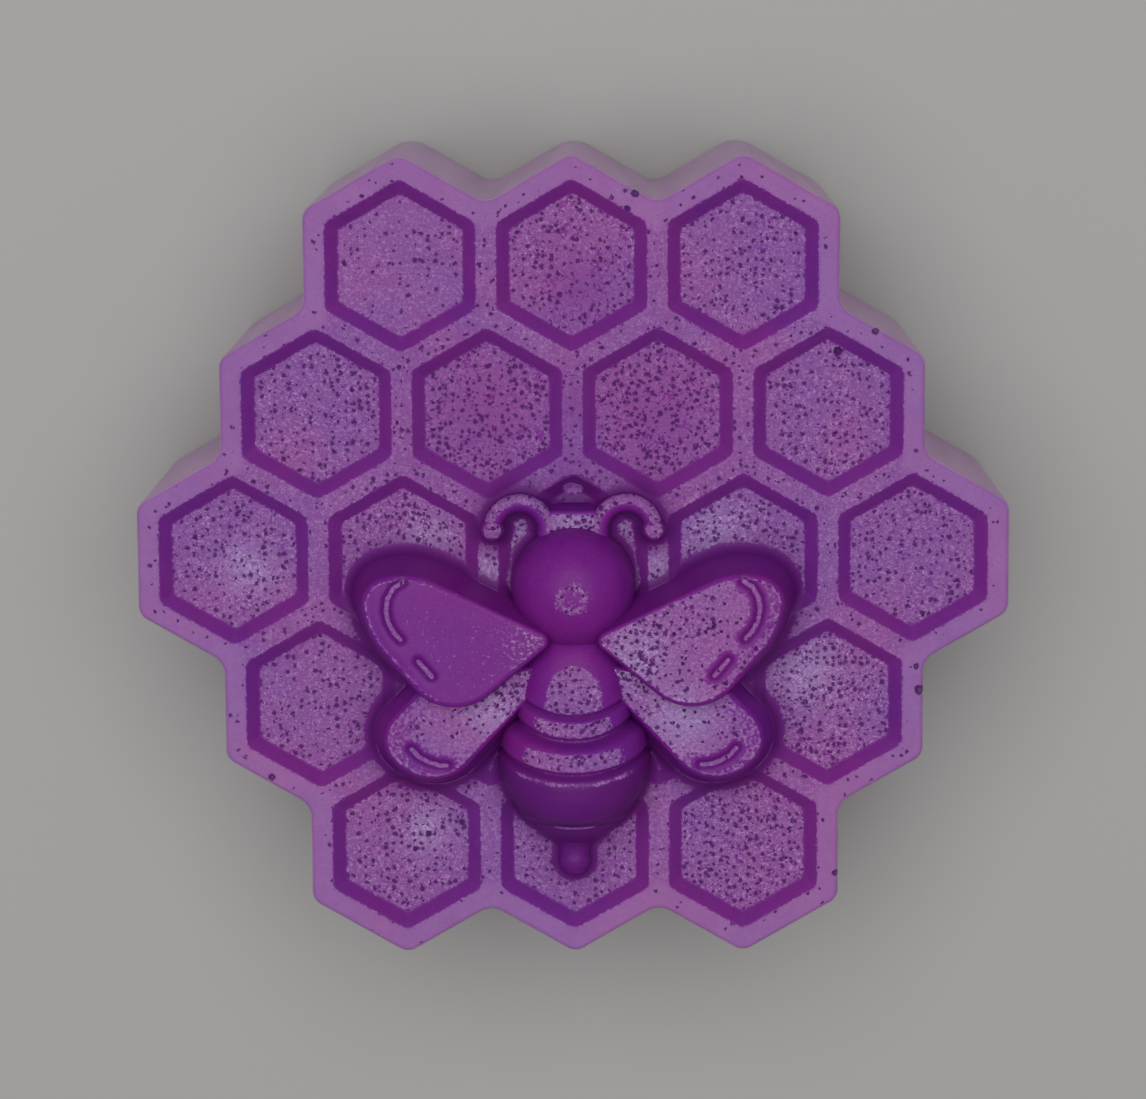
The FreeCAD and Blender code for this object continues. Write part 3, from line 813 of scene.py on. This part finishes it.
def body_pieces(material):
    """Thorax, two bands and the tail, each as long as it is in the solid model, and the stinger.
    Each row gives the node, its two ends, the air holes tried and their reach to each side, the
    power of its section, its share of frost, the reach of its bloom, its marks (painted highlights,
    on the tail) and its painted shade."""
    spans = [
        ("thorax", "bee_thorax", -5.6, THORAX_BACK,
         30, 2.2, 2.4, 0.0, 0.5, None, 0.0),
        ("upper_band", "abdomen_band_upper", THORAX_BACK, UPPER_BACK,
         30, 3.6, 2.6, 0.7, 0.64, None, 0.0),
        ("middle_band", "abdomen_band_middle", UPPER_BACK, MIDDLE_BACK,
         40, 4.4, 2.6, 0.7, 0.66, None, 0.0),
        ("tail", "abdomen_tail", MIDDLE_BACK, -26.4,
         0, 1.0, 2.3, 0.0, 0.0, tail_painted_highlights, 0.75),
    ]
    for name, node, front, back, count, half, power, frost_share, reach, marks, painted_shade_mask in spans:
        ys = np.linspace(front, back, round((front - back) / 0.09) + 1)
        low, high = (-half, back + 0.25), (half, min(front - 0.25, -8.6))
        holes = scattered(count, lambda a, b: np.abs(a) < half, low, high, size=(0.1, 0.2))
        barrel_piece("bee_" + name + "_skin", node, ys, body_shape, power, holes, material,
                     frost_share, reach, marks, painted_shade_mask)
    ys = np.concatenate([np.linspace(-24.9, -29.0, 46), np.linspace(-29.05, -29.99, 20)])
    # The stinger carries painted shade, as dark as the tail's funnel
    barrel_piece("stinger_skin", "stinger", ys, stinger_shape, 2.0, np.zeros((0, 5)), material,
                 0.1, base_painted_shade=0.6)


def tail_painted_highlights(points, along):
    """Painted highlights on the tail, in bloom colour: a thin broken line across near its front and
    a fine crescent on the lip above the stinger."""
    x = np.abs(points[:, 0])
    broken = 0.8 + 0.4 * value_noise(points[:, 0], along * 0.3, 0.5, 41)
    line = np.exp(-((along + 18.85) / 0.22) ** 2) * smooth(5.9, 4.6, x) * broken
    crescent = np.exp(-((along + 24.42 - 0.05 * x * x) / 0.15) ** 2) * smooth(2.2, 1.4, x)
    high = points[:, 2] - FLOOR_Z
    marks = 1.1 * line * smooth(2.0, 3.2, high) + 1.6 * crescent * smooth(1.2, 1.8, high)
    return np.clip(marks, 0, 1)


# Shine marks: curved cuts on the right-hand wings, in plan
SHINE = {
    "fore": [[(15.5, -1.3), (16.35, -1.9), (16.85, -2.8), (17.0, -3.9), (16.8, -5.0),
              (16.3, -5.9), (15.7, -6.6)],
             [(14.1, -8.6), (13.5, -9.3), (12.9, -10.0)]],
    "hind": [[(14.9, -17.2), (14.3, -17.9), (13.4, -18.4), (12.5, -18.7), (11.7, -18.75)]],
}


def plateau(name, node, corners, radii, height, spread_out, shine, holes, material,
            frost_share=1.0, fall=(0.5, 1.7)):
    """Flat-topped raised form: a leaning flank up from the comb, an eased shoulder whose width
    grows away from the neck (fall gives its least and most), and a level top. Shine marks are soft
    hollows, 0.42 e^(-(d / 0.42)^2) deep at distance d from their line; a fine lip runs round the
    tip."""
    steps = loop_steps(corners, radii, 0.12)
    edge, normals = rounded(corners, radii, steps)
    top = FLOOR_Z + height
    centre = corners.mean(0)
    rings = [at_level(edge + normals * spread_out, FLOOR_Z - SINK)]
    for part in np.linspace(0, 1, 12):
        rings.append(at_level(edge + normals * spread_out * (1 - part),
                              FLOOR_Z + (height - 0.75) * part))
    insets = np.linspace(0.07, 0.63, 9)
    rings += [at_level(edge - normals * inset, top) for inset in insets]
    inner = edge - normals * insets[-1]
    for scale in np.linspace(1, 0.015, 68)[1:]:
        rings.append(at_level(centre + (inner - centre) * scale, top))
    points = np.concatenate(rings + [[[*centre, FLOOR_Z - SINK]], [[*centre, top]]])
    level = points[:, 2] > top - 0.01
    x, y = points[level, 0], points[level, 1]
    from_neck = np.hypot(x, y - NECK_Y)
    inward = np.maximum(edge_distance(x, y, edge[::3]), 0)
    out = smooth(8, 19, from_neck) * bool(shine)
    width = fall[0] + (fall[1] - fall[0]) * out
    shoulder = np.clip(inward / 0.55, 0, 1)
    drop = (0.4 * (1 - np.sqrt(1 - (1 - shoulder) ** 2))
            + 0.3 * out * (1 - np.clip(inward / width, 0, 1)) ** 2)
    lip = out * np.exp(-((inward - 0.5) / 0.14) ** 2)
    away = np.full(len(x), FAR)
    for path in shine:
        away = np.minimum(away, path_distance(x, y, path))
    points[level, 2] = top - drop + 0.04 * lip - 0.42 * np.exp(-(away / 0.42) ** 2)
    ragged = 0.12 * value_noise(x, y, 0.4, 43)
    marks, painted_shade_mask = np.zeros(len(points)), np.zeros(len(points))
    share, pits = np.full(len(points), frost_share), np.full(len(points), 0.5)
    # Painted highlight in bloom colour along the bottom of each shine mark; bloom along the lip
    marks[level] = np.maximum(smooth(0.24, 0.1, away + ragged * 0.3) * 1.6, 0.62 * lip + ragged)
    extra = (1 - frost_share) * 0.4 * smooth(9, 3, from_neck)
    share[level] = np.clip(share[level] + extra, 0, 1)
    smooth_tip = out * smooth(3.6, 1.6, inward)
    # Less bloom round each shine mark, so the bare soap shows there as part of its painted shade
    share[level] *= 1 - np.maximum(0.5 * smooth_tip, 0.9 * smooth(1.5, 0.5, away))
    # Painted shade in a band round each shine mark
    painted_shade_mask[level] = 0.6 * smooth(0.95, 0.2, away) * smooth(0.14, 0.3, away)
    pits[level] = 0.15 + 0.6 * smooth(15, 4, from_neck)
    triangles = ring_faces(len(rings), len(edge))
    finish_surface(name, points, triangles, holes, material, [node], share, marks, painted_shade_mask, pits)


def wing_pieces(material):
    """Four wings and the level web between the antennae."""
    plan = [("forewing_right", FOREWING, 1, FOREWING_HEIGHT, 500, 1.0),
            ("forewing_left", FOREWING, -1, FOREWING_HEIGHT, 60, 0.17),
            ("hindwing_right", HINDWING, 1, HINDWING_HEIGHT, 300, 1.0),
            ("hindwing_left", HINDWING, -1, HINDWING_HEIGHT, 300, 1.0)]
    for name, outline, side, height, count, share in plan:
        corners, radii = wing_corners(outline, side)
        low, high = corners.min(0), corners.max(0)
        holes = scattered(count, lambda a, b: edge_distance(a, b, corners) > 0.3, low, high,
                          size=(0.09, 0.19))
        out = np.hypot(holes[:, 0], holes[:, 1] - NECK_Y)
        holes = holes[random_source.uniform(0, 1, len(holes)) < 1.15 - out / 19]
        shine = [[(side * x, y) for x, y in path] for path in SHINE[name[:4]]]
        plateau(name + "_skin", name, corners, radii, height, WING_SPREAD, shine, holes,
                material, share)
    corners = np.array([[-2.4, -2.5], [2.4, -2.5], [2.4, 4.7], [-2.4, 4.7]])
    holes = scattered(30, lambda a, b: np.abs(a) < 1.8, (-1.8, 2.0), (1.8, 4.75), size=(0.11, 0.2))
    plateau("antenna_web", "antenna_bridge", corners, np.full(4, 0.6), 2.4, 0.4, [], holes,
            material, fall=(0.4, 0.4))


def antenna_pieces(material):
    """Two arched rods with ball tips. Each rod's section leans in from its foot to a narrow level
    top, and a thin line of bloom runs along its outer side."""
    angle = np.linspace(math.pi, 0, 80)
    outward = np.column_stack([np.cos(angle), np.sin(angle)])
    stem_y = np.linspace(0.0, ARCH_Y, 27)[:-1]
    stem = np.column_stack([np.full(len(stem_y), ARCH_X - ARCH_RADIUS), stem_y])
    path = np.concatenate([stem, [ARCH_X, ARCH_Y] + ARCH_RADIUS * outward])
    across = np.concatenate([np.tile([1.0, 0.0], (len(stem), 1)), -outward])
    flank = np.array([(ROD_FOOT, -SINK), (1.1, 0.2), (1.03, 0.7), (0.95, 1.2), (0.88, 1.55)])
    top = np.linspace(0, math.pi, 34)
    offset = np.concatenate([flank[:, 0], 0.82 * np.cos(top), -flank[::-1, 0]])
    height = np.concatenate([flank[:, 1], 1.8 + 0.8 * np.sin(top), flank[::-1, 1]])
    spots = path[:, None] + across[:, None] * offset[:, None]
    along = np.repeat(np.arange(len(path)), len(offset)) / len(path)
    centred = np.tile(np.abs(offset + 0.4), len(path))
    line = smooth(0.5 + 0.2 * along, 0.15 + 0.2 * along, centred)
    line = np.append(line * (np.tile(height, len(path)) > 2.0), [0, 0])
    ball = [(1.35, -SINK), (1.32, 0.2), (1.25, 0.7), (1.18, 1.2)]
    for lift in np.radians(np.linspace(2, 88, 26)):
        ball.append((1.12 * math.cos(lift), 1.62 + 1.16 * math.sin(lift) ** 0.8))
    ball = [(radius, FLOOR_Z + z) for radius, z in ball]
    for side, word in ((1, "right"), (-1, "left")):
        node = "antenna_" + word
        rings = [np.column_stack([side * spot[:, 0], spot[:, 1], FLOOR_Z + height])
                 for spot in spots]
        ends = [[[side * x, y, FLOOR_Z + 1]] for x, y in (path[0], path[-1])]
        triangles = ring_faces(len(rings), len(offset))[:, ::-side]
        middle = side * ARCH_X
        holes = scattered(40, lambda a, b: b > 2, (middle - 3.4, 2.0), (middle + 3.4, 6.2),
                          size=(0.09, 0.17))
        finish_surface("antenna_rod_" + word, np.concatenate(rings + ends), triangles, holes,
                       material, [node], 0.0, line)
        x = side * (ARCH_X + ARCH_RADIUS)
        points, triangles = turned(x, ARCH_Y, ball, FLOOR_Z + 2.78, 96)
        crown = smooth(0.95, 0.65, np.hypot(points[:, 0] - x, points[:, 1] - ARCH_Y))
        crown *= points[:, 2] > FLOOR_Z + 2.0
        finish_surface("antenna_tip_" + word, points, triangles, holes, material, [node],
                       0.0, crown * 0.8)


# ---- Materials ---------------------------------------------------------------
def colour(code):
    """Linear colour from an sRGB hex code: v / 12.92, or ((v + 0.055) / 1.055)^2.4 past 0.04045."""
    parts = [int(code[i:i + 2], 16) / 255 for i in (0, 2, 4)]
    return (*(v / 12.92 if v <= 0.04045 else ((v + 0.055) / 1.055) ** 2.4 for v in parts), 1.0)


def add(tree, kind, inputs, output=0, **settings):
    """Add one shader node and give one of its outputs: settings are its own properties, inputs are
    values or links by name or number."""
    made = tree.nodes.new("ShaderNode" + kind)
    for key, value in settings.items():
        setattr(made, key, value)
    for key, value in inputs.items():
        if isinstance(value, bpy.types.NodeSocket):
            tree.links.new(value, made.inputs[key])
        else:
            made.inputs[key].default_value = value
    return made.outputs[output] if made.outputs else None


def layered(tree, ground, *layers):
    """Colours laid over a ground one by one. Each layer is its colour, the value that it follows,
    the range of that value, and how much of the colour shows at each end of the range."""
    for tone, value, low, high, least, most in layers:
        share = add(tree, "MapRange", {0: value, 1: low, 2: high, 3: least, 4: most})
        ground = add(tree, "Mix", {0: share, 6: ground, 7: tone}, 2, data_type="RGBA")
    return ground


# Patterns in the soap, in features to a metre
GRAIN_SCALE = 2900.0        # grains of bloom about 0.35 mm apart
SPECK_SCALE = 6500.0        # specks about 0.15 mm
CLOUD_SCALE = 420.0         # clouds about 2.4 mm
SWIRL_SCALE = 75.0          # a slow drift between pinker and bluer soap, about 13 mm
CRACK_SCALE = 1250.0        # cracks about 0.8 mm apart
STREAK_SCALE = 380.0        # streaks down the side about 2.6 mm apart
BEND_SCALE = 4200.0         # waviness of a pinhole's edge, about 0.25 mm
PINHOLE_SCALE = 1550.0      # places for a pinhole about 0.65 mm apart


def cast_soap():
    """Melt-and-pour soap, violet and slightly clear, turned out of a mould: bare it is smooth and
    waxy (index about 1.46), and on level faces a fine pale bloom has dried on it in grains."""
    material = bpy.data.materials.new("cast_soap_violet")
    material.use_nodes = True
    tree = material.node_tree
    tree.nodes.clear()
    place = add(tree, "TexCoord", {}, "Object")
    frost, hole, painted_shade, side, pale, pits = (
        add(tree, "Attribute", {}, "Fac", attribute_name=name)
        for name in ("frost", "hole", "painted_shade", "side", "pale", "pits"))
    grain, fine, clouds, swirl, crooked = (
        add(tree, "TexNoise", {"Vector": place, "Scale": scale, "Detail": detail,
                               "Roughness": roughness, "Distortion": distortion})
        for scale, detail, roughness, distortion in (
            (GRAIN_SCALE, 2.0, 0.55, 0.0), (SPECK_SCALE, 1.0, 0.6, 0.0),
            (CLOUD_SCALE, 3.0, 0.6, 0.0), (SWIRL_SCALE, 2.0, 0.5, 0.6),
            (CRACK_SCALE, 1.0, 0.5, 0.4)))
    # The bare soap, and how much of it the bloom covers
    around = add(tree, "Math", {0: grain, 1: 0.5}, operation="SUBTRACT")
    ragged = add(tree, "Math", {0: around, 1: 1.5, 2: frost}, operation="MULTIPLY_ADD")
    cover = add(tree, "MapRange", {0: ragged, 1: 0.34, 2: 0.62})
    body = layered(tree, colour("5D1077"),
                   (colour("6A1273"), swirl, 0.38, 0.62, 0.0, 1.0),
                   (colour("762686"), clouds, 0.3, 0.75, 0.0, 0.3),
                   (colour("7E3090"), fine, 0.42, 0.7, 0.0, 0.22))
    # The bloom: pale grains over a duller ground, thicker and thinner in patches
    bloom = layered(tree, colour("875C99"),
                    (colour("905C96"), swirl, 0.38, 0.62, 0.0, 1.0),
                    (colour("A591BC"), pale, 0.0, 1.0, 0.0, 0.75))
    dull = add(tree, "Mix", {0: 0.42, 6: body, 7: bloom}, 2, data_type="RGBA")
    both_grains = add(tree, "Math", {0: grain, 1: fine}, operation="ADD")
    grains = add(tree, "MapRange", {0: both_grains, 1: 0.77, 2: 1.23})
    even = add(tree, "MapRange", {0: side, 1: 0.0, 2: 0.1, 3: 1.0, 4: 0.3})
    grains = add(tree, "Mix", {0: even, 2: 0.45, 3: grains})
    flecks = add(tree, "MapRange", {0: pits, 1: 0.1, 2: 0.7, 3: 0.15, 4: 0.36})
    bloom = layered(tree, dull,
                    (bloom, grains, 0.0, 1.0, 0.15, 1.0),
                    (colour("C4A8CC"), grains, 0.65, 1.0, 0.0, flecks),
                    (dull, clouds, 0.36, 0.62, 0.4, 0.0),
                    (dull, pale, -0.8, 0.0, 0.85, 0.0))
    # Fine crooked cracks in the bloom, where a noise crosses its middle value
    at_middle = add(tree, "Math", {0: crooked, 1: 0.5, 2: 0.028}, operation="COMPARE")
    most = add(tree, "MapRange", {0: pits, 1: 0.1, 2: 0.6, 3: 0.1, 4: 0.8})
    share = add(tree, "MapRange", {0: clouds, 1: 0.4, 2: 0.58, 3: 0.0, 4: most})
    crack = add(tree, "Math", {0: at_middle, 1: share}, operation="MULTIPLY")
    bloom = add(tree, "Mix", {0: crack, 6: bloom, 7: body}, 2, data_type="RGBA")
    tint = add(tree, "Mix", {0: cover, 6: body, 7: bloom}, 2, data_type="RGBA")
    # Painted reflection on the side walls: a pale colour for the bright room mirrored in their
    # gloss, with faint upright streaks
    drawn = add(tree, "VectorMath", {0: place, 1: (1.0, 1.0, 0.12)}, operation="MULTIPLY")
    streaks = add(tree, "TexNoise", {"Vector": drawn, "Scale": STREAK_SCALE, "Detail": 3.0})
    wall = layered(tree, colour("C3A0C7"),
                   (colour("B997BC"), streaks, 0.35, 0.65, 0.0, 1.0),
                   (colour("B59C9E"), clouds, 0.5, 0.72, 0.0, 0.3))
    tint = add(tree, "Mix", {0: side, 6: tint, 7: wall}, 2, data_type="RGBA")
    # Pinholes 0.15 to 0.5 mm across: bent discs round scattered places, as many as pits asks for
    bend = add(tree, "TexNoise", {"Vector": place, "Scale": BEND_SCALE, "Detail": 1.0}, 1)
    bent = add(tree, "VectorMath", {0: bend, 1: (0.00042, 0.00042, 0.0), 2: place},
               operation="MULTIPLY_ADD")
    away = add(tree, "TexVoronoi", {"Vector": bent, "Scale": PINHOLE_SCALE}, "Distance",
               voronoi_dimensions="2D")
    chance = add(tree, "SeparateColor", {0: away.node.outputs["Color"]})
    present = add(tree, "Math", {0: chance, 1: pits}, operation="LESS_THAN")
    reach = add(tree, "MapRange", {0: chance.node.outputs[1], 1: 0.0, 2: 1.0, 3: 0.12, 4: 0.41})
    near = add(tree, "Math", {0: away, 1: reach}, operation="DIVIDE")
    inside = add(tree, "MapRange", {0: near, 1: 0.6, 2: 1.2, 3: 1.0, 4: 0.0})
    shown = add(tree, "Math", {0: inside, 1: present}, operation="MULTIPLY")
    pinhole = add(tree, "Math", {0: shown, 1: cover}, operation="MULTIPLY")
    # Air holes and pinholes show the bare soap, darkened past it with painted shade
    sunk = add(tree, "MapRange", {0: hole, 1: 0.15, 2: 0.6})
    painted_shade_mask = add(tree, "Math", {0: sunk, 1: pinhole}, operation="MAXIMUM")
    # Painted shade: the air holes and pinholes, and the corners, grooves, feet and socket
    tint = layered(tree, tint,
                   (colour("440C57"), painted_shade_mask, 0.0, 1.0, 0.0, 0.9),
                   (colour("4C0F5A"), painted_shade, 0.0, 1.0, 0.0, 0.85))
    # Raised grains, specks and cracks less than 0.1 mm high or deep, and the pinholes sunk in
    relief = add(tree, "Math", {0: fine, 1: 0.25}, operation="MULTIPLY")
    for value, height in ((grains, cover), (crack, -0.8), (pinhole, -1.5)):
        relief = add(tree, "Math", {0: value, 1: height, 2: relief}, operation="MULTIPLY_ADD")
    bump = add(tree, "Bump", {"Height": relief, "Strength": 0.5, "Distance": 0.00007})
    rough = add(tree, "MapRange", {0: cover, 1: 0.0, 2: 1.0, 3: 0.42, 4: 0.68})
    shader = add(tree, "BsdfPrincipled", {"Base Color": tint, "Roughness": rough, "IOR": 1.46,
                                          "Specular IOR Level": 0.18, "Normal": bump})
    add(tree, "OutputMaterial", {"Surface": shader})
    return material


def plain(name, code, roughness):
    """Plain painted or paper surface of one colour."""
    material = bpy.data.materials.new(name)
    material.use_nodes = True
    shader = material.node_tree.nodes["Principled BSDF"]
    shader.inputs["Base Color"].default_value = colour(code)
    shader.inputs["Roughness"].default_value = roughness
    return material


# ---- Camera, floor and light ---------------------------------------------------
def studio():
    """Camera looking down at the bar, a plain pale floor under it and one large soft lamp."""
    lens = bpy.data.cameras.new("camera")
    lens.sensor_width = 36
    lens.lens = 126.3
    lens.shift_x = -0.036
    lens.shift_y = -0.06
    lens.clip_start = 0.01
    camera = placed("camera", lens)
    camera.matrix_world = (Matrix.Translation((3.8 * MM, 62.0 * MM, 389.1 * MM))
                           @ Matrix.Rotation(math.radians(-8.55), 4, "X")
                           @ Matrix.Rotation(math.radians(-0.25), 4, "Z"))
    bpy.context.scene.camera = camera
    mesh = bpy.data.meshes.new("floor")
    reach = 1.5
    corners = [(-reach, -reach, 0), (reach, -reach, 0), (reach, reach, 0), (-reach, reach, 0)]
    mesh.from_pydata(corners, [], [(0, 1, 2, 3)])
    mesh.materials.append(plain("paper_grey", "9D9C9A", 0.8))
    floor = placed("floor", mesh)
    lamp = bpy.data.lights.new("softbox", "AREA")
    lamp.shape = "DISK"
    lamp.size = 0.7
    lamp.energy = 3.5
    softbox = placed("softbox", lamp)
    softbox.matrix_world = (Matrix.Translation((-0.03, 0.10, 0.56))
                            @ Matrix.Rotation(math.radians(-10), 4, "X"))
    world = bpy.data.worlds.new("studio")
    world.use_nodes = True
    sky = world.node_tree.nodes["Background"]
    sky.inputs["Color"].default_value = (1, 1, 1, 1)
    sky.inputs["Strength"].default_value = 0.24
    bpy.context.scene.world = world
    bpy.context.scene.view_settings.view_transform = "Standard"


# ---- Build ---------------------------------------------------------------------
soap = cast_soap()
for (row, column, x, y), count in zip(CELLS, HOLE_COUNTS):
    cell(row, column, x, y, count / max(HOLE_COUNTS), soap)
front_band(soap)
side_and_back(soap)
head_piece(soap)
body_pieces(soap)
wing_pieces(soap)
antenna_pieces(soap)
studio()
